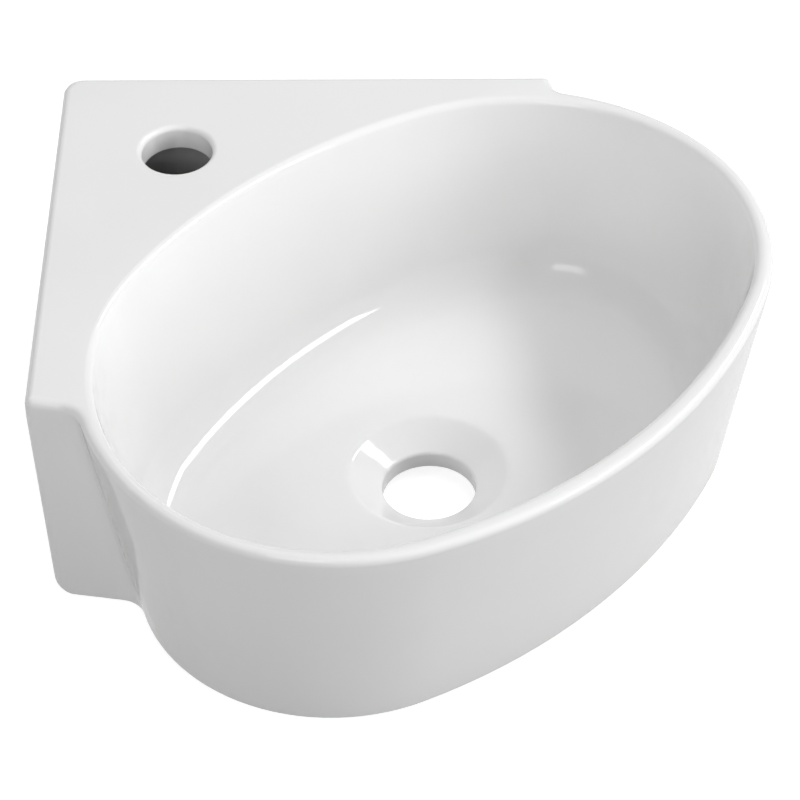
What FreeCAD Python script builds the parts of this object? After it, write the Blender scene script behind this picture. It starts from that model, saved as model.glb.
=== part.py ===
import FreeCAD, Part
import math
import os

# Wall-hung corner basin, built in corner coordinates: the two room walls are the planes x = 0 and y = 0,
# the basin fills x > 0, y < 0, and z = 0 is its underside. Across the corner, u runs along the front and
# v runs from the corner out into the room. At the end every piece is placed about the casting's own
# bounding box centre.

V = FreeCAD.Vector
doc = FreeCAD.newDocument("corner_basin")
dims = doc.addObject("Spreadsheet::Sheet", "dims")
placing = doc.addObject("Spreadsheet::Sheet", "placing")

ROOT2 = math.sqrt(2.0)
NEAR = 0.01         # two heights closer than this are the same
PAST = 5.0          # cutting tools run this far past the face that they cut

SIZES = [
    # name, mm, what it is
    ("total_height", 125.4, "underside to rim"),
    ("edge_round", 4.3, "outer edge of rim, deck and legs"),
    ("bowl_edge_round", 3.4, "inner edge of the rim"),
    ("foot_round", 1.6, "outer edge of the underside"),
    # rim outline seen from above, measured from the bisector of the corner
    ("oval_middle", 2.0, "u of the oval's middle"),
    ("rim_left", 177.4, "outer half width to the left"),
    ("rim_right", 187.9, "outer half width to the right"),
    ("rim_front", 395.0, "v of the front edge"),
    ("rim_back", 115.0, "v of the bowl's back wall, outside"),
    ("rim_widest_left", 262.0, "v where the left half is widest"),
    ("rim_widest_right", 258.0, "v where the right half is widest"),
    ("rim_front_radius", 262.7, "front arc"),
    ("rim_back_radius", 330.0, "back arc"),
    ("rim_side", 8.0, "rim width at the sides"),
    ("rim_nose", 10.6, "rim width at the front"),
    ("bowl_back", 129.0, "v of the deck's front edge"),
    ("bowl_back_radius", 290.0, "arc of the deck's front edge"),
    # outline of the underside
    ("foot_left", 159.9, "outer half width to the left"),
    ("foot_right", 168.6, "outer half width to the right"),
    ("foot_front", 366.7, "v of the front"),
    ("foot_back", 156.5, "v of the bowl's back wall"),
    ("foot_widest_left", 260.4, "v where the left half is widest"),
    ("foot_widest_right", 260.4, "v where the right half is widest"),
    ("foot_front_radius", 301.0, "front arc"),
    ("foot_back_radius", 300.0, "back arc"),
    ("foot_wall", 11.0, "width of the standing rim"),
    ("foot_hollow", 13.0, "height of the hollow inside the foot"),
    # bowl floor
    ("floor_level", 24.6, "floor at the recess"),
    ("floor_fall", 1.5, "rise of the floor from the recess to the start of the wall's blend"),
    ("floor_left", 154.5, "half width to the left at floor level"),
    ("floor_right", 163.6, "half width to the right at floor level"),
    ("floor_front", 362.3, "v of the front at floor level"),
    ("floor_back", 158.8, "v of the back at floor level"),
    ("floor_blend", 18.0, "radius between floor and wall"),
    # waste
    ("waste_x", 185.2, "waste hole from the left wall"),
    ("waste_y", 183.2, "waste hole from the right wall"),
    ("waste_hole", 46.0, "diameter"),
    ("waste_top", 14.1, "level of the hole's upper edge"),
    ("waste_lip", 2.5, "rounding of the hole's upper edge"),
    ("waste_bottom", 5.5, "level of the seat under the hole"),
    ("waste_seat", 104.0, "diameter of the thick seat under the hole"),
    ("recess_radius", 39.3, "recess at floor level"),
    ("recess_round", 7.0, "rounding of the recess's upper edge"),
    # legs and deck
    ("leg_right", 246.0, "leg along the right wall"),
    ("leg_left", 240.5, "leg along the left wall"),
    ("leg_slant", 0.165, "slant of the leg's end face"),
    ("leg_flare", 1.0, "the leg is this much longer at the underside"),
    ("leg_reach", 56.0, "how far the end face runs out from the wall"),
    ("leg_end_round", 4.6, "upright edge at the wall on the leg's end"),
    ("corner_round", 10.0, "upright edge in the room's corner"),
    ("leg_blend_right", 8.0, "hollow between right leg and bowl"),
    ("leg_blend_left", 14.0, "hollow between left leg and bowl"),
    ("block_side", 60.0, "u where the deck's outline ends inside the bowl"),
    ("block_front", 230.0, "v where the deck's outline ends inside the bowl"),
    ("deck_thickness", 13.0, "deck, also the height of the upright wall face"),
    ("wall_lean", 5.5, "back wall stands off the room wall at the underside"),
    ("back_foot_round", 9.0, "rounding between back wall and underside"),
    ("back_foot_flat", 0.5, "that rounding stops this much short of a full quarter"),
    ("back_wall", 16.0, "inner face of the back wall from the room wall"),
    ("end_wall", 10.0, "thickness of the leg's end"),
    ("hollow_round", 8.0, "upright corners of the hollow under the deck"),
    # tap hole
    ("tap_x", 60.3, "tap hole from the left wall"),
    ("tap_y", 58.2, "tap hole from the right wall"),
    ("tap_hole", 35.0, "diameter"),
    ("tap_lip", 3.0, "rounding of the tap hole's upper edge"),
    # wall fixings
    ("fixing_from_corner", 130.0, "fixing hole from the corner along the wall"),
    ("fixing_height", 75.0, "fixing hole above the underside"),
    ("fixing_hole", 18.0, "hole in the china"),
    ("sleeve_outside", 17.4, "shank of the sleeve"),
    ("sleeve_bore", 10.5, "bolt hole in the sleeve"),
    ("sleeve_length", 10.0, "shank from the flange"),
    ("sleeve_flange", 30.0, "flange diameter"),
    ("flange_thickness", 3.5, "flange"),
    ("sleeve_chamfer", 0.8, "outer edges of the sleeve"),
]


def fill_sheet(sheet, rows):
    """One row for each value: name, number and note."""
    for row, (name, value, note) in enumerate(rows, start=1):
        sheet.set("A%d" % row, name)
        sheet.set("B%d" % row, str(value))
        sheet.set("C%d" % row, note)
        sheet.setAlias("B%d" % row, name)
    sheet.recompute()


fill_sheet(dims, SIZES)
doc.recompute()


def size(name):
    return float(dims.get(name))


def across(u, v, z=0.0):
    """Point given across the corner, in wall coordinates."""
    return V((u + v) / ROOT2, (u - v) / ROOT2, z)


# ---------------------------------------------------------------- document objects

def bind(thing, **expressions):
    """Ties properties to the sheet; an underscore stands for a dot."""
    for prop, text in expressions.items():
        thing.setExpression(prop.replace("_", "."), text)


def keep(name, shape):
    thing = doc.addObject("Part::Feature", name)
    thing.Shape = shape
    return thing


def loft(name, sections):
    thing = doc.addObject("Part::Loft", name)
    thing.Sections = sections
    thing.Solid = True
    thing.Ruled = True
    return thing


def raised(name, outline, height):
    """Upright block on a flat outline."""
    thing = doc.addObject("Part::Extrusion", name)
    thing.Base = outline
    thing.DirMode = "Custom"
    thing.Dir = V(0, 0, 1)
    thing.Solid = True
    bind(thing, LengthFwd=height)
    return thing


def turned(name, edges, x, y):
    """Solid turned about the upright line through x, y."""
    profile = wire_of(name + "_line", edges)
    thing = doc.addObject("Part::Revolution", name)
    thing.Source = keep(name + "_profile", Part.Face(profile.Shape))
    thing.Axis = V(0, 0, 1)
    thing.Base = V(0, 0, 0)
    thing.Angle = 360.0
    bind(thing, Placement_Base_x=x, Placement_Base_y=y)
    return thing


def cylinder(name, radius, bottom, height, x="0", y="0"):
    thing = doc.addObject("Part::Cylinder", name)
    bind(thing, Radius=radius, Height=height, Placement_Base_x=x, Placement_Base_y=y,
         Placement_Base_z=bottom)
    return thing


def fuse(name, pieces):
    thing = doc.addObject("Part::MultiFuse", name)
    thing.Shapes = pieces
    thing.Refine = True
    return thing


def cut(name, base, tool):
    thing = doc.addObject("Part::Cut", name)
    thing.Base = base
    thing.Tool = tool
    thing.Refine = True
    return thing


def spread(edge):
    """Lowest and highest point of an edge."""
    box = edge.BoundBox
    return box.ZMin, box.ZMax


def soften(kind, name, base, pick, amount):
    """Fillet or chamfer the edges of base that pick() accepts."""
    doc.recompute()
    found = [i for i, edge in enumerate(base.Shape.Edges, start=1) if pick(edge)]
    thing = doc.addObject(kind, name)
    thing.Base = base
    thing.Edges = [(i, amount, amount) for i in found]
    doc.recompute()
    if not found or thing.Shape.isNull() or not thing.Shape.isValid():
        raise RuntimeError("%s failed on %d edges" % (name, len(found)))
    return thing


# ---------------------------------------------------------------- outlines

# Each half of an outline is worked out in its own side's coordinates: x along that side's room wall from
# the corner, y out from that wall. Side +1 is the right-hand wall, side -1 the left-hand wall.
# An edge is a tuple of points: two for a line, three for an arc.

RIGHT = 1.0
LEFT = -1.0
OVAL_SIZES = ("left", "right", "widest_left", "widest_right", "front", "front_radius", "back", "back_radius")


def beside(u, v):
    """Point in a side's own coordinates; u counts from the bisector towards that side."""
    return V((v + u) / ROOT2, (v - u) / ROOT2, 0)


def to_plan(side, edge, z):
    """An edge in wall coordinates."""
    if side == RIGHT:
        return [V(p.x, -p.y, z) for p in edge]
    return [V(p.y, -p.x, z) for p in edge]


def wire_of(name, edges):
    made = []
    for points in edges:
        made.append(Part.Arc(*points).toShape() if len(points) == 3 else Part.makeLine(*points))
    return keep(name, Part.Wire(made))


def named_oval(name):
    return {key: size(name + "_" + key) for key in OVAL_SIZES}


def part_way(first, second, t):
    return {key: first[key] + (second[key] - first[key]) * t for key in OVAL_SIZES}


def drawn_in(oval, d):
    """The same oval with its whole outline moved inwards by d."""
    change = {"widest_left": 0.0, "widest_right": 0.0, "back": d}
    return {key: oval[key] + change.get(key, -d) for key in OVAL_SIZES}


def quarter(oval, side, end):
    """Tip arc, side arc and the side arc's centre and radius, for the front or back quarter on a side."""
    half = oval["right" if side == RIGHT else "left"]
    widest = oval["widest_right" if side == RIGHT else "widest_left"]
    tip = oval[end]
    radius = oval[end + "_radius"]
    shift = side * size("oval_middle")
    way = 1.0 if tip > widest else -1.0
    middle = radius - abs(tip - widest)
    side_radius = (radius ** 2 - half ** 2 - middle ** 2) / (2.0 * (radius - half))
    turn = math.atan2(half - side_radius, middle)
    square = math.pi / 2

    def on_tip(a):
        return beside(shift + radius * math.sin(a), widest + way * (radius * math.cos(a) - middle))

    def on_side(a):
        across_u = shift + half + side_radius * (math.sin(a) - 1.0)
        return beside(across_u, widest + way * side_radius * math.cos(a))

    tip_arc = (on_tip(0.0), on_tip(turn / 2), on_tip(turn))
    side_arc = (on_side(turn), on_side((turn + square) / 2), on_side(square))
    return tip_arc, side_arc, beside(shift + half - side_radius, widest), side_radius


def end_arc(oval, end, z):
    """The single arc across the front or back of an oval, from the right-hand side to the left."""
    right = to_plan(RIGHT, quarter(oval, RIGHT, end)[0], z)
    left = to_plan(LEFT, quarter(oval, LEFT, end)[0], z)
    return [right[2], right[0], left[2]]


def oval_edges(oval, z):
    """Six tangent arcs round an oval at height z."""
    right_back = to_plan(RIGHT, quarter(oval, RIGHT, "back")[1], z)
    right_front = to_plan(RIGHT, quarter(oval, RIGHT, "front")[1], z)
    left_front = to_plan(LEFT, quarter(oval, LEFT, "front")[1], z)
    left_back = to_plan(LEFT, quarter(oval, LEFT, "back")[1], z)
    return [right_back, right_front[::-1], end_arc(oval, "front", z),
            left_front, left_back[::-1], end_arc(oval, "back", z)[::-1]]


def oval_outline(name, z, oval):
    return wire_of(name, oval_edges(oval, z))


def corner_arc(before, corner, after, radius):
    """Arc that rounds the corner between two straight runs."""
    a = (before - corner).normalize()
    b = (after - corner).normalize()
    half = a.getAngle(b) / 2
    run = radius / math.tan(half)
    middle = corner + (a + b).normalize() * (radius / math.sin(half) - radius)
    return corner + a * run, middle, corner + b * run


def leg_side(oval, side, stand_off, longer, inset):
    """From a back wall round the leg's end and on along the bowl to its front quarter."""
    s = size("leg_slant")
    slope = math.sqrt(1.0 + s ** 2)
    length = size("leg_right" if side == RIGHT else "leg_left") + longer - inset * slope
    blend = size("leg_blend_right" if side == RIGHT else "leg_blend_left") + inset
    wall = stand_off + inset
    corner = V(length + s * wall, wall, 0)
    end = corner_arc(V(0, wall, 0), corner, corner + V(s, 1, 0), size("leg_end_round") - inset)
    # centre of the blend: its radius away from the end face and from the bowl's side arc
    centre, radius = quarter(oval, side, "back")[2:]
    start = length + blend * slope
    half_b = s * (start - centre.x) - centre.y
    c = (start - centre.x) ** 2 + centre.y ** 2 - (radius + blend) ** 2
    y = (-half_b - math.sqrt(half_b ** 2 - slope ** 2 * c)) / slope ** 2
    middle = V(start + s * y, y, 0)
    on_leg = middle - V(1, -s, 0) * (blend / slope)
    on_bowl = centre + (middle - centre) * (radius / (radius + blend))
    bend = middle + ((on_leg - middle) + (on_bowl - middle)).normalize() * blend
    widest = quarter(oval, side, "back")[1][2]
    flank = centre + ((on_bowl - centre) + (widest - centre)).normalize() * radius
    return [end, (end[2], on_leg), (on_leg, bend, on_bowl), (on_bowl, flank, widest),
            quarter(oval, side, "front")[1][::-1]]


def whole_outline(name, z, oval, stand_off, longer, inset):
    """Bowl, legs and deck in one closed outline at height z, moved inwards by inset."""
    inner = drawn_in(oval, inset)
    right = [to_plan(RIGHT, edge, z) for edge in leg_side(inner, RIGHT, stand_off, longer, inset)]
    left = [to_plan(LEFT, edge, z)[::-1] for edge in leg_side(inner, LEFT, stand_off, longer, inset)][::-1]
    wall = stand_off + inset
    room = V(wall, -wall, z)
    corner = corner_arc(left[-1][-1], room, right[0][0], size("corner_round") - inset)
    walls = [(left[-1][-1], corner[0]), corner, (corner[2], right[0][0])]
    return wire_of(name, right + [end_arc(inner, "front", z)] + left + walls)


# ---------------------------------------------------------------- walls

def quarter_round(radius, steps):
    """Pairs of rise and draw-in along a quarter-round edge, from its start."""
    turns = [math.pi / 2 * i / steps for i in range(steps + 1)]
    return [(radius * math.sin(a), radius * (1.0 - math.cos(a))) for a in turns]


def outside():
    """Bowl, legs and deck as one block: back walls lean off the room walls, all outer edges are round."""
    high = size("total_height")
    land = high - size("deck_thickness")
    top_start = high - size("edge_round")
    r_foot = size("foot_round")
    r_back = size("back_foot_round")
    curl_end = r_back - size("back_foot_flat")
    levels = [(r_foot - rise, inset) for rise, inset in reversed(quarter_round(r_foot, 3))]
    levels += [(curl_end * 0.4, 0.0), (curl_end * 0.65, 0.0), (curl_end, 0.0), (land, 0.0)]
    levels += [(top_start + rise, inset) for rise, inset in quarter_round(size("edge_round"), 4)]
    sections = []
    for i, (z, inset) in enumerate(levels):
        below = max(0.0, 1.0 - z / land)
        to_curl = max(0.0, curl_end - z)
        curl = r_back - math.sqrt(r_back ** 2 - to_curl ** 2)
        oval = part_way(named_oval("foot"), named_oval("rim"), z / high)
        sections.append(whole_outline("outline_%d" % i, z, oval, size("wall_lean") * below + curl,
                                      size("leg_flare") * below, inset))
    return loft("outside_body", sections)


def bowl_core():
    """The bowl's outer wall by itself, closed all round."""
    return loft("bowl_outside", [oval_outline("foot_outline", 0.0, named_oval("foot")),
                                 oval_outline("rim_outline", size("total_height"), named_oval("rim"))])


def inner_oval(z):
    """The bowl's inner wall at height z, on the line from the floor to the rim."""
    low = size("floor_level")
    rim = named_oval("rim")
    rim["back_radius"] = size("bowl_back_radius")
    floor = dict(rim, left=size("floor_left"), right=size("floor_right"), front=size("floor_front"),
                 back=size("floor_back"))
    top = dict(rim, left=rim["left"] - size("rim_side"), right=rim["right"] - size("rim_side"),
               front=rim["front"] - size("rim_nose"), back=size("bowl_back"))
    return part_way(floor, top, (z - low) / (size("total_height") - low))


def recess_end():
    """Radius and level where the rounded edge of the recess runs out into the floor."""
    low = V(size("waste_hole") / 2, 0, size("waste_top"))
    ring = V(size("recess_radius"), 0, size("floor_level"))
    return corner_arc(low, ring, ring + V(1, 0, 0), size("recess_round"))


def recess_ring(name, z, edges):
    """Circle round the recess, split on the same bearings as the given edges."""
    waste = V(size("waste_x"), -size("waste_y"), z)
    radius = recess_end()[2].x
    ring = []
    for edge in edges:
        bearings = [V(p.x - waste.x, p.y - waste.y, 0).normalize() for p in edge]
        ring.append([waste + bearing * radius for bearing in bearings])
    return wire_of(name, ring)


def bowl_wall():
    """The bowl's hollow from the recess over floor, blend and wall to its rounded upper edge."""
    high = size("total_height")
    edge = size("bowl_edge_round")
    blend = size("floor_blend")
    floor = size("floor_level")
    start = floor + size("floor_fall")
    levels = [(start + blend - rise, -inset) for rise, inset in reversed(quarter_round(blend, 8))]
    levels += [(high - edge + rise, out) for rise, out in quarter_round(edge, 4)]
    first = oval_edges(drawn_in(inner_oval(start), blend), start)
    sections = [recess_ring("recess_ring", floor, first)]
    for i, (z, out) in enumerate(levels):
        sections.append(oval_outline("bowl_outline_%d" % i, z, drawn_in(inner_oval(z), -out)))
    above = drawn_in(inner_oval(high), -edge)
    sections.append(oval_outline("bowl_outline_above", high + PAST, above))
    return loft("bowl_inside", sections)


def recess():
    """The dished recess and the waste hole down to its seat, turned about the waste axis."""
    low = V(size("waste_hole") / 2, 0, size("waste_bottom"))
    edge = V(low.x, 0, size("waste_top"))
    soft = recess_end()
    lip = corner_arc(low, edge, soft[0], size("waste_lip"))
    axis = [soft[2], V(0, 0, soft[2].z), V(0, 0, low.z), low, lip[0]]
    edges = [lip, (lip[2], soft[0]), soft] + list(zip(axis, axis[1:]))
    return turned("recess", edges, "dims.waste_x", "-dims.waste_y")


def corner_hollow():
    """Room under the deck before the bowl is taken away from it."""
    w = size("back_wall")
    s = size("leg_slant")
    reach = size("leg_reach")
    right = size("leg_right") - size("end_wall")
    left = size("leg_left") - size("end_wall")
    side = size("block_side")
    front = size("block_front")
    r = size("hollow_round")
    left_end = V(w, -left - s * w, -PAST)
    room = V(w, -w, -PAST)
    right_end = V(right + s * w, -w, -PAST)
    right_out = V(right + s * reach, -reach, -PAST)
    left_out = V(reach, -left - s * reach, -PAST)
    inner = [right_out, across(side, front, -PAST), across(-side, front, -PAST), left_out]
    a = corner_arc(left_out, left_end, room, r)
    b = corner_arc(left_end, room, right_end, r)
    c = corner_arc(room, right_end, right_out, r)
    edges = [a, (a[2], b[0]), b, (b[2], c[0]), c, (c[2], inner[0])]
    edges += list(zip(inner, inner[1:])) + [(inner[3], a[0])]
    base = wire_of("hollow_outline", edges)
    return raised("hollow_room", base, "dims.total_height - dims.deck_thickness + %g" % PAST)


# ---------------------------------------------------------------- casting

def tap_tool():
    """The tap hole with its rounded upper edge."""
    r = size("tap_hole") / 2
    lip = size("tap_lip")
    high = size("total_height")
    low = high - 2 * size("deck_thickness")
    bend = lip * (1 - math.sqrt(0.5))
    start = V(r, 0, high - lip)
    end = V(r + lip, 0, high)
    corners = [end, V(r + lip, 0, high + PAST), V(0, 0, high + PAST), V(0, 0, low), V(r, 0, low), start]
    edges = list(zip(corners, corners[1:])) + [(start, V(r + bend, 0, high - bend), end)]
    return turned("tap_tool", edges, "dims.tap_x", "-dims.tap_y")


def foot_hollow():
    """Recess in the underside that leaves a standing rim and a thick seat round the waste hole."""
    ring = oval_outline("foot_inner_outline", -PAST, drawn_in(named_oval("foot"), size("foot_wall")))
    slab = raised("foot_slab", ring, "dims.foot_hollow + %g" % PAST)
    seat = cylinder("waste_seat_block", "dims.waste_seat / 2", "dims.waste_bottom", "dims.total_height",
                    "dims.waste_x", "-dims.waste_y")
    return cut("foot_space", slab, seat)


def fixing_turn(on_left):
    """Turns +Z to point from the room wall into the basin."""
    inwards = V(1, 0, 0) if on_left else V(0, -1, 0)
    return FreeCAD.Rotation(V(0, 0, 1), inwards)


def fixing_drill(name, on_left):
    """Hole through a back wall, square to the room wall."""
    drill = doc.addObject("Part::Cylinder", name)
    drill.Placement = FreeCAD.Placement(V(), fixing_turn(on_left))
    bind(drill, Radius="dims.fixing_hole / 2", Height="dims.back_wall + %g" % (2 * PAST),
         Placement_Base_z="dims.fixing_height")
    if on_left:
        bind(drill, Placement_Base_x="%g" % -PAST, Placement_Base_y="-dims.fixing_from_corner")
    else:
        bind(drill, Placement_Base_x="dims.fixing_from_corner", Placement_Base_y="%g" % PAST)
    return drill


def hidden_spaces(bowl):
    """Everything that is cut away below and through the casting."""
    below = "%g" % -PAST
    through = "dims.waste_top + %g" % PAST
    waste = cylinder("waste_drill", "dims.waste_hole / 2", below, through, "dims.waste_x", "-dims.waste_y")
    under_deck = cut("under_deck_space", corner_hollow(), bowl)
    drills = [fixing_drill("left_drill", True), fixing_drill("right_drill", False)]
    return fuse("hidden_spaces", [under_deck, tap_tool(), foot_hollow(), waste] + drills)


def note_middle(shell):
    """The middle of the casting's box goes into its own small sheet, for the placements."""
    middle = shell.Shape.optimalBoundingBox(False, False).Center
    fill_sheet(placing, [("centre_x", round(middle.x, 3), "middle of the casting from the left wall"),
                         ("centre_y", round(-middle.y, 3), "middle of the casting from the right wall")])


def casting():
    block = outside()
    doc.recompute()
    note_middle(block)
    body = cut("with_bowl", block, fuse("bowl_hollow", [bowl_wall(), recess()]))
    body = cut("basin_body", body, hidden_spaces(bowl_core()))
    bind(body, Placement_Base_x="-placing.centre_x", Placement_Base_y="placing.centre_y")
    doc.recompute()
    return body


# ---------------------------------------------------------------- sleeves

def place_on_wall(thing, on_left):
    """Puts the seat of the flange against the inner face of a back wall, shank towards the room wall."""
    thing.Placement = FreeCAD.Placement(V(), fixing_turn(on_left))
    bind(thing, Placement_Base_z="dims.fixing_height")
    if on_left:
        bind(thing, Placement_Base_x="dims.back_wall - placing.centre_x",
             Placement_Base_y="-dims.fixing_from_corner + placing.centre_y")
    else:
        bind(thing, Placement_Base_x="dims.fixing_from_corner - placing.centre_x",
             Placement_Base_y="-dims.back_wall + placing.centre_y")


def sleeve(label, on_left):
    shank = cylinder(label + "_shank", "dims.sleeve_outside / 2", "-dims.sleeve_length",
                     "dims.sleeve_length + dims.flange_thickness / 2")
    flange = cylinder(label + "_flange", "dims.sleeve_flange / 2", "0", "dims.flange_thickness")
    bore = cylinder(label + "_bore", "dims.sleeve_bore / 2", "-dims.sleeve_length - %g" % PAST,
                    "dims.sleeve_length + dims.flange_thickness + %g" % (2 * PAST))
    solid = fuse(label + "_solid", [shank, flange])
    hollow = cut(label + "_hollow", solid, bore)
    ends = (-size("sleeve_length"), size("flange_thickness"))

    def outer_rims(edge):
        low, high = spread(edge)
        wide = edge.BoundBox.XLength > size("sleeve_bore") + NEAR
        return wide and high - low < NEAR and min(abs(low - end) for end in ends) < NEAR

    piece = soften("Part::Chamfer", label + "_body", hollow, outer_rims, size("sleeve_chamfer"))
    piece.Label = label
    place_on_wall(piece, on_left)
    return piece


# ---------------------------------------------------------------- the whole part

def build():
    basin = casting()
    basin.Label = "basin"
    pieces = [basin, sleeve("fixing_sleeve_left", True), sleeve("fixing_sleeve_right", False)]
    doc.recompute()
    return pieces


def check(pieces):
    for thing in doc.Objects:
        if "Invalid" in thing.State or "Error" in thing.State:
            raise RuntimeError(thing.Name + " did not compute")
    for piece in pieces:
        shape = piece.Shape
        if shape.isNull() or not shape.isValid() or len(shape.Solids) != 1:
            raise RuntimeError(piece.Label + " is not one sound solid")


def write(pieces):
    os.makedirs("parts", exist_ok=True)
    for piece in pieces:
        piece.Shape.exportStep("parts/" + piece.Label + ".step")
        box = piece.Shape.BoundBox
        print(piece.Label, "%.1f cm3" % (piece.Shape.Volume / 1000.0),
              "%.1f x %.1f x %.1f mm" % (box.XLength, box.YLength, box.ZLength))


pieces = build()
check(pieces)
write(pieces)
print("centre", placing.get("centre_x"), placing.get("centre_y"))
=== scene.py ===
import math

import bpy
from mathutils import Matrix, Vector


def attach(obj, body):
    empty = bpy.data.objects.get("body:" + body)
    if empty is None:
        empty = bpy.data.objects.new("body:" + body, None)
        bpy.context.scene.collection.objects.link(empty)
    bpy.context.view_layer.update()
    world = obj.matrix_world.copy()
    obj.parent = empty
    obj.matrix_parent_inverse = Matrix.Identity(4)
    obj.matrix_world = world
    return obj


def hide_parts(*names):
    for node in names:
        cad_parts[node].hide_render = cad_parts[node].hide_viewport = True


# White glazed corner basin on a white studio floor, seen from above and in front.
# Metres; the frame's origin is under the middle of the basin, on its flat underside.

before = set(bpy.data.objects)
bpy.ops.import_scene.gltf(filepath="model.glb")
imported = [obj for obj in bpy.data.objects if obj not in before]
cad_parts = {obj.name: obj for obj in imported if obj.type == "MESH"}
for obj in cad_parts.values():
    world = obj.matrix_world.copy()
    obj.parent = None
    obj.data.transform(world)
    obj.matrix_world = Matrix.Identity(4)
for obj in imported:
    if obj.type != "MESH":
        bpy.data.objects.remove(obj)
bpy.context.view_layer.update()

CORNER = Vector((-0.175552, 0.172077, 0.0))      # where the two room walls meet

# The casting's skin
SAME_POINT = 0.00001
EDGE_ANGLE = math.radians(34)                    # anything sharper shades as an edge
STANDING_RIM = 0.0004                            # faces below this height can be bare clay
FACES_DOWN = -0.9                                # upright part of the normal of a bare face
SHADING_WEIGHT = 50

# White glaze
GLAZE_DARK = (0.800, 0.800, 0.800)
GLAZE_LIGHT = (0.824, 0.824, 0.824)
GLAZE_ROUGHNESS = 0.07
GLAZE_IOR = 1.5

# Unglazed clay
CLAY_DARK = (0.62, 0.59, 0.54)
CLAY_LIGHT = (0.73, 0.71, 0.66)
CLAY_ROUGHNESS = 0.75

# Nylon of the fixing sleeves
NYLON_DARK = (0.66, 0.65, 0.59)
NYLON_LIGHT = (0.74, 0.73, 0.68)
NYLON_ROUGHNESS = 0.45
NYLON_GLOW = 0.1
NYLON_DEPTH = 0.002

# Floor and room. Mirror rays get less white than the camera does, or a dark band shows
# where the left leg meets the bowl.
WHITE = (1.0, 1.0, 1.0, 1.0)
FLOOR_GREY = (0.3, 0.3, 0.3, 1.0)
# Near-black sheet under the deck: painted shade for the hollow seen through the tap hole.
SHADE_SHEET_GREY = (0.04, 0.04, 0.04, 1.0)
FLOOR_TO_CAMERA = 0.86
FLOOR_IN_GLAZE = 0.6
ROOM_AS_LIGHT = 0.03
ROOM_IN_GLAZE = 0.3
FLOOR_SIZE = 14.0
FLOOR_DROP = 0.0004
SHADE_SHEET_SIZE = 0.1
SHADE_SHEET_PLACE = Vector((0.067, -0.067, -0.0002))   # from the corner, under the deck

# Lamps: compass bearing from behind the basin and height over the floor in degrees, width and
# height in metres, and watts.
AIM = Vector((0.0, 0.0, 0.055))
LAMP_AWAY = 2.8
SOFTBOXES = {
    "strip_right": (78, 42, 3.0, 0.34, 50.0),
    "glint_front": (200, 43, 0.85, 0.85, 7.0),
}
FILLS = {
    "low_right": (110, 12, 1.0, 1.0, 25.0),
    "front_low": (180, 15, 1.0, 1.0, 20.0),
    "left": (245, 40, 1.0, 1.0, 19.0),
    "top_back": (40, 60, 1.0, 1.0, 9.0),
    "overhead": (75, 75, 1.0, 1.0, 14.0),
    "behind": (315, 14, 1.0, 1.0, 18.0),
}

# Camera
CAMERA_PLACE = Vector((0.213488, -1.507904, 1.314531))   # from the corner
CAMERA_YAW = math.radians(1.797)
CAMERA_PITCH = math.radians(43.152)
CAMERA_ROLL = math.radians(-1.366)
SENSOR = 36.0
FOCAL_LENGTH = 170.14
NEAREST = 0.05
FARTHEST = 60.0


# ------------------------------------------------------------------ node helpers

def new_material(name):
    mat = bpy.data.materials.new(name)
    mat.use_nodes = True
    tree = mat.node_tree
    tree.nodes.clear()
    return mat, tree


def node(tree, kind, **values):
    made = tree.nodes.new(kind)
    for key, value in values.items():
        setattr(made, key, value)
    return made


def link(tree, a, out, b, socket):
    tree.links.new(a.outputs[out], b.inputs[socket])


def noise(tree, where, scale, detail=3.0, rough=0.5):
    made = node(tree, "ShaderNodeTexNoise")
    made.inputs["Scale"].default_value = scale
    made.inputs["Detail"].default_value = detail
    made.inputs["Roughness"].default_value = rough
    link(tree, where, "Object", made, "Vector")
    return made


def tint(tree, source, start, dark, end, light):
    """A ramp from the dark colour at start to the light one at end."""
    ramp = node(tree, "ShaderNodeValToRGB")
    first, last = ramp.color_ramp.elements
    first.position = start
    first.color = (*dark, 1)
    last.position = end
    last.color = (*light, 1)
    link(tree, source, "Fac", ramp, "Fac")
    return ramp


def bump(tree, source, strength, distance, below=None):
    made = node(tree, "ShaderNodeBump")
    made.inputs["Strength"].default_value = strength
    made.inputs["Distance"].default_value = distance
    link(tree, source, "Fac", made, "Height")
    if below is not None:
        link(tree, below, "Normal", made, "Normal")
    return made


def surface(tree, colour, relief, roughness):
    """A shader with its colour, relief and roughness, joined to the material's output."""
    out = node(tree, "ShaderNodeOutputMaterial")
    shader = node(tree, "ShaderNodeBsdfPrincipled")
    shader.inputs["Roughness"].default_value = roughness
    link(tree, colour, "Color", shader, "Base Color")
    link(tree, relief, "Normal", shader, "Normal")
    link(tree, shader, "BSDF", out, "Surface")
    return shader


def scaled(tree, source, out, factor):
    made = node(tree, "ShaderNodeMath", operation="MULTIPLY")
    link(tree, source, out, made, 0)
    made.inputs[1].default_value = factor
    return made


def larger(tree, a, a_out, b, b_out):
    made = node(tree, "ShaderNodeMath", operation="MAXIMUM")
    link(tree, a, a_out, made, 0)
    link(tree, b, b_out, made, 1)
    return made


def shine_level(tree, to_camera, in_glaze):
    """One strength for camera and see-through rays, another for mirror rays, nothing as a light."""
    path = node(tree, "ShaderNodeLightPath")
    direct = larger(tree, path, "Is Camera Ray", path, "Is Transmission Ray")
    seen = scaled(tree, direct, "Value", to_camera)
    mirrored = scaled(tree, path, "Is Glossy Ray", in_glaze)
    return larger(tree, seen, "Value", mirrored, "Value")


# ------------------------------------------------------------------ finishes

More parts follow.
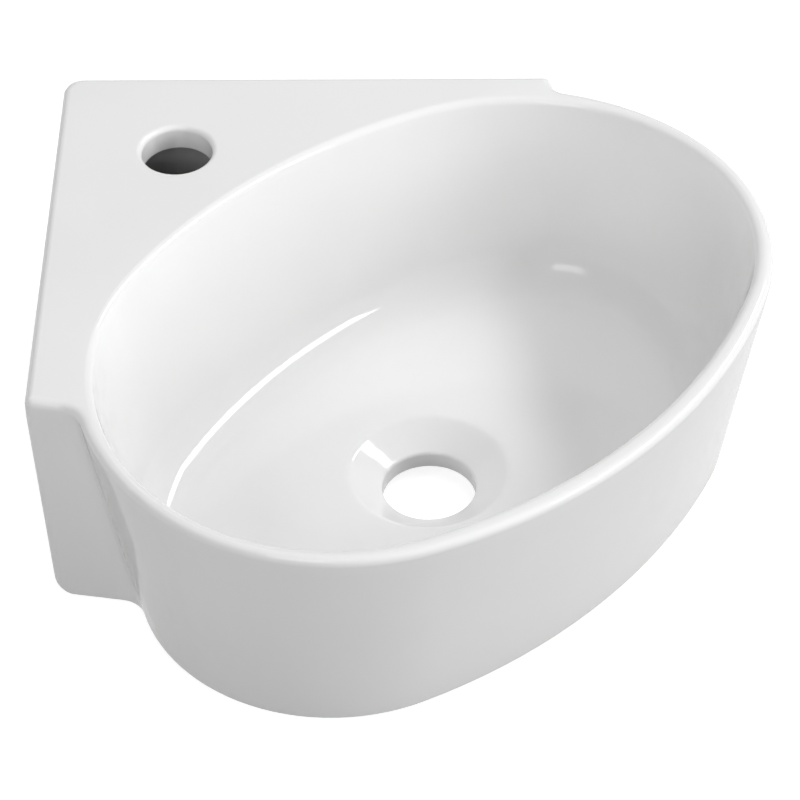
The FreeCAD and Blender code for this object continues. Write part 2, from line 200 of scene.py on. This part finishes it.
def white_glaze():
    """Fired white glaze: even, very smooth, with a ripple that hardly shows."""
    mat, tree = new_material("white_glaze")
    where = node(tree, "ShaderNodeTexCoord")
    cloud = noise(tree, where, 9.0, 2.0)
    colour = tint(tree, cloud, 0.35, GLAZE_DARK, 0.65, GLAZE_LIGHT)
    ripple = noise(tree, where, 26.0, 1.0)
    skin = noise(tree, where, 900.0, 2.0)
    long_wave = bump(tree, ripple, 0.01, 0.0012)
    fine = bump(tree, skin, 0.015, 0.0001, long_wave)
    shader = surface(tree, colour, fine, GLAZE_ROUGHNESS)
    shader.inputs["IOR"].default_value = GLAZE_IOR
    return mat


def bare_clay():
    """Unglazed fired clay on the ground standing rim: dry, faintly grainy."""
    mat, tree = new_material("bare_clay")
    where = node(tree, "ShaderNodeTexCoord")
    grain = noise(tree, where, 700.0, 6.0, 0.7)
    colour = tint(tree, grain, 0.3, CLAY_DARK, 0.7, CLAY_LIGHT)
    tooth = bump(tree, grain, 0.25, 0.0003)
    surface(tree, colour, tooth, CLAY_ROUGHNESS)
    return mat


def natural_nylon():
    """Moulded natural nylon: cloudy off-white, satin, with fine mould texture."""
    mat, tree = new_material("natural_nylon")
    where = node(tree, "ShaderNodeTexCoord")
    cloud = noise(tree, where, 180.0, 4.0)
    colour = tint(tree, cloud, 0.3, NYLON_DARK, 0.7, NYLON_LIGHT)
    grain = noise(tree, where, 2500.0, 3.0)
    mould = bump(tree, grain, 0.2, 0.0001)
    shader = surface(tree, colour, mould, NYLON_ROUGHNESS)
    shader.inputs["Subsurface Weight"].default_value = NYLON_GLOW
    shader.inputs["Subsurface Scale"].default_value = NYLON_DEPTH
    return mat


# ------------------------------------------------------------------ pieces

def only(piece):
    bpy.ops.object.select_all(action="DESELECT")
    piece.select_set(True)
    bpy.context.view_layer.objects.active = piece


def merge_and_mark(skin):
    """Joins the loose triangles into one closed surface and marks its true edges."""
    only(skin)
    bpy.ops.mesh.customdata_custom_splitnormals_clear()
    bpy.ops.object.mode_set(mode="EDIT")
    bpy.ops.mesh.select_all(action="SELECT")
    bpy.ops.mesh.remove_doubles(threshold=SAME_POINT)
    bpy.ops.mesh.mark_sharp(clear=True)
    bpy.ops.mesh.select_mode(type="EDGE")
    bpy.ops.mesh.select_all(action="DESELECT")
    bpy.ops.mesh.edges_select_sharp(sharpness=EDGE_ANGLE)
    bpy.ops.mesh.mark_sharp()
    bpy.ops.mesh.select_all(action="DESELECT")
    bpy.ops.object.mode_set(mode="OBJECT")
    bpy.ops.object.shade_smooth(keep_sharp_edges=True)


def glaze_all_but_rim(skin, glaze, clay):
    """Glaze everywhere, and bare clay on the faces that the basin stands on."""
    mesh = skin.data
    mesh.materials.clear()
    mesh.materials.append(glaze)
    mesh.materials.append(clay)
    for face in mesh.polygons:
        top = max(mesh.vertices[i].co.z for i in face.vertices)
        stands = top < STANDING_RIM and face.normal.z < FACES_DOWN
        face.material_index = 1 if stands else 0


def even_shading(skin):
    """Lets the large flat faces keep their shading beside the narrow rounded ones."""
    even = skin.modifiers.new("even_shading", "WEIGHTED_NORMAL")
    even.mode = "FACE_AREA"
    even.weight = SHADING_WEIGHT
    even.keep_sharp = True
    bpy.ops.object.modifier_apply(modifier=even.name)


def glazed_basin(glaze, clay):
    """The casting as one glazed skin, in place of its CAD node."""
    only(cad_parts["basin"])
    bpy.ops.object.duplicate()
    skin = bpy.context.view_layer.objects.active
    skin.name = "basin_casting"
    skin.data.name = "basin_casting"
    merge_and_mark(skin)
    glaze_all_but_rim(skin, glaze, clay)
    even_shading(skin)
    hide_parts("basin")
    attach(skin, "root")


def fixing_sleeves(nylon):
    for name in ("fixing_sleeve_left", "fixing_sleeve_right"):
        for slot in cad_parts[name].material_slots:
            slot.material = nylon


# ------------------------------------------------------------------ studio

def white_floor():
    """White sweep: shines white to the camera, softer in the glaze, and still takes a soft shadow."""
    mat, tree = new_material("white_floor")
    out = node(tree, "ShaderNodeOutputMaterial")
    shine = shine_level(tree, FLOOR_TO_CAMERA, FLOOR_IN_GLAZE)
    glow = node(tree, "ShaderNodeEmission")
    glow.inputs["Color"].default_value = WHITE
    link(tree, shine, "Value", glow, "Strength")
    matt = node(tree, "ShaderNodeBsdfDiffuse")
    matt.inputs["Color"].default_value = FLOOR_GREY
    both = node(tree, "ShaderNodeAddShader")
    link(tree, glow, "Emission", both, 0)
    link(tree, matt, "BSDF", both, 1)
    link(tree, both, "Shader", out, "Surface")
    return mat


def painted_shade_sheet():
    """Near-black sheet under the deck, painted shade that keeps the inside of the tap hole dark."""
    mat, tree = new_material("painted_shade_sheet")
    out = node(tree, "ShaderNodeOutputMaterial")
    matt = node(tree, "ShaderNodeBsdfDiffuse")
    matt.inputs["Color"].default_value = SHADE_SHEET_GREY
    link(tree, matt, "BSDF", out, "Surface")
    return mat


def ground(name, size, place, material):
    bpy.ops.object.select_all(action="DESELECT")
    bpy.ops.mesh.primitive_plane_add(size=size, location=place)
    plane = bpy.context.active_object
    plane.name = name
    plane.data.materials.append(material)


def studio():
    ground("floor", FLOOR_SIZE, (0, 0, -FLOOR_DROP), white_floor())
    # A near-black sheet under the deck paints shade into the hollow seen through the tap hole.
    ground("shade_sheet_under_deck", SHADE_SHEET_SIZE, CORNER + SHADE_SHEET_PLACE, painted_shade_sheet())


def panel(name, bearing, climb, width, height, watts):
    """A flat lamp on the given bearing, turned to the basin."""
    across = math.radians(bearing)
    up = math.radians(climb)
    out = Vector((math.sin(across) * math.cos(up), math.cos(across) * math.cos(up), math.sin(up)))
    lamp = bpy.data.lights.new(name, "AREA")
    lamp.energy = watts
    lamp.shape = "RECTANGLE"
    lamp.size = width
    lamp.size_y = height
    thing = bpy.data.objects.new(name, lamp)
    bpy.context.scene.collection.objects.link(thing)
    thing.location = AIM + out * LAMP_AWAY
    thing.rotation_euler = (-out).to_track_quat("-Z", "Y").to_euler()
    return thing


def lamps():
    """A long strip on the right and a small box in front mirror in the glaze; the fills only light it."""
    for name, values in SOFTBOXES.items():
        panel(name, *values)
    for name, values in FILLS.items():
        panel(name, *values).visible_glossy = False


def room():
    """White where the camera sees it, pale where the glaze mirrors it, nearly dark as a light."""
    world = bpy.data.worlds.new("studio_room")
    world.use_nodes = True
    tree = world.node_tree
    tree.nodes.clear()
    out = node(tree, "ShaderNodeOutputWorld")
    shine = shine_level(tree, 1.0, ROOM_IN_GLAZE)
    strength = node(tree, "ShaderNodeMath", operation="MAXIMUM")
    link(tree, shine, "Value", strength, 0)
    strength.inputs[1].default_value = ROOM_AS_LIGHT
    back = node(tree, "ShaderNodeBackground")
    back.inputs["Color"].default_value = WHITE
    link(tree, strength, "Value", back, "Strength")
    link(tree, back, "Background", out, "Surface")
    bpy.context.scene.world = world


def camera_turn():
    """The camera's axes from its yaw, pitch and roll."""
    right = Vector((math.cos(CAMERA_YAW), math.sin(CAMERA_YAW), 0))
    level = math.cos(CAMERA_PITCH)
    ahead = Vector((-math.sin(CAMERA_YAW) * level, math.cos(CAMERA_YAW) * level, -math.sin(CAMERA_PITCH)))
    up = right.cross(ahead)
    side = right * math.cos(CAMERA_ROLL) + up * math.sin(CAMERA_ROLL)
    head = up * math.cos(CAMERA_ROLL) - right * math.sin(CAMERA_ROLL)
    return Matrix((side, head, -ahead)).transposed().to_4x4()


def camera():
    """Stands 1.8 m off, looking 43 degrees down, with a long lens."""
    lens = bpy.data.cameras.new("camera")
    lens.sensor_width = SENSOR
    lens.lens = FOCAL_LENGTH
    lens.clip_start = NEAREST
    lens.clip_end = FARTHEST
    thing = bpy.data.objects.new("camera", lens)
    bpy.context.scene.collection.objects.link(thing)
    thing.matrix_world = Matrix.Translation(CORNER + CAMERA_PLACE) @ camera_turn()
    bpy.context.scene.camera = thing


# ------------------------------------------------------------------ the scene

glazed_basin(white_glaze(), bare_clay())
fixing_sleeves(natural_nylon())
studio()
lamps()
room()
camera()
bpy.context.scene.view_settings.view_transform = "Standard"
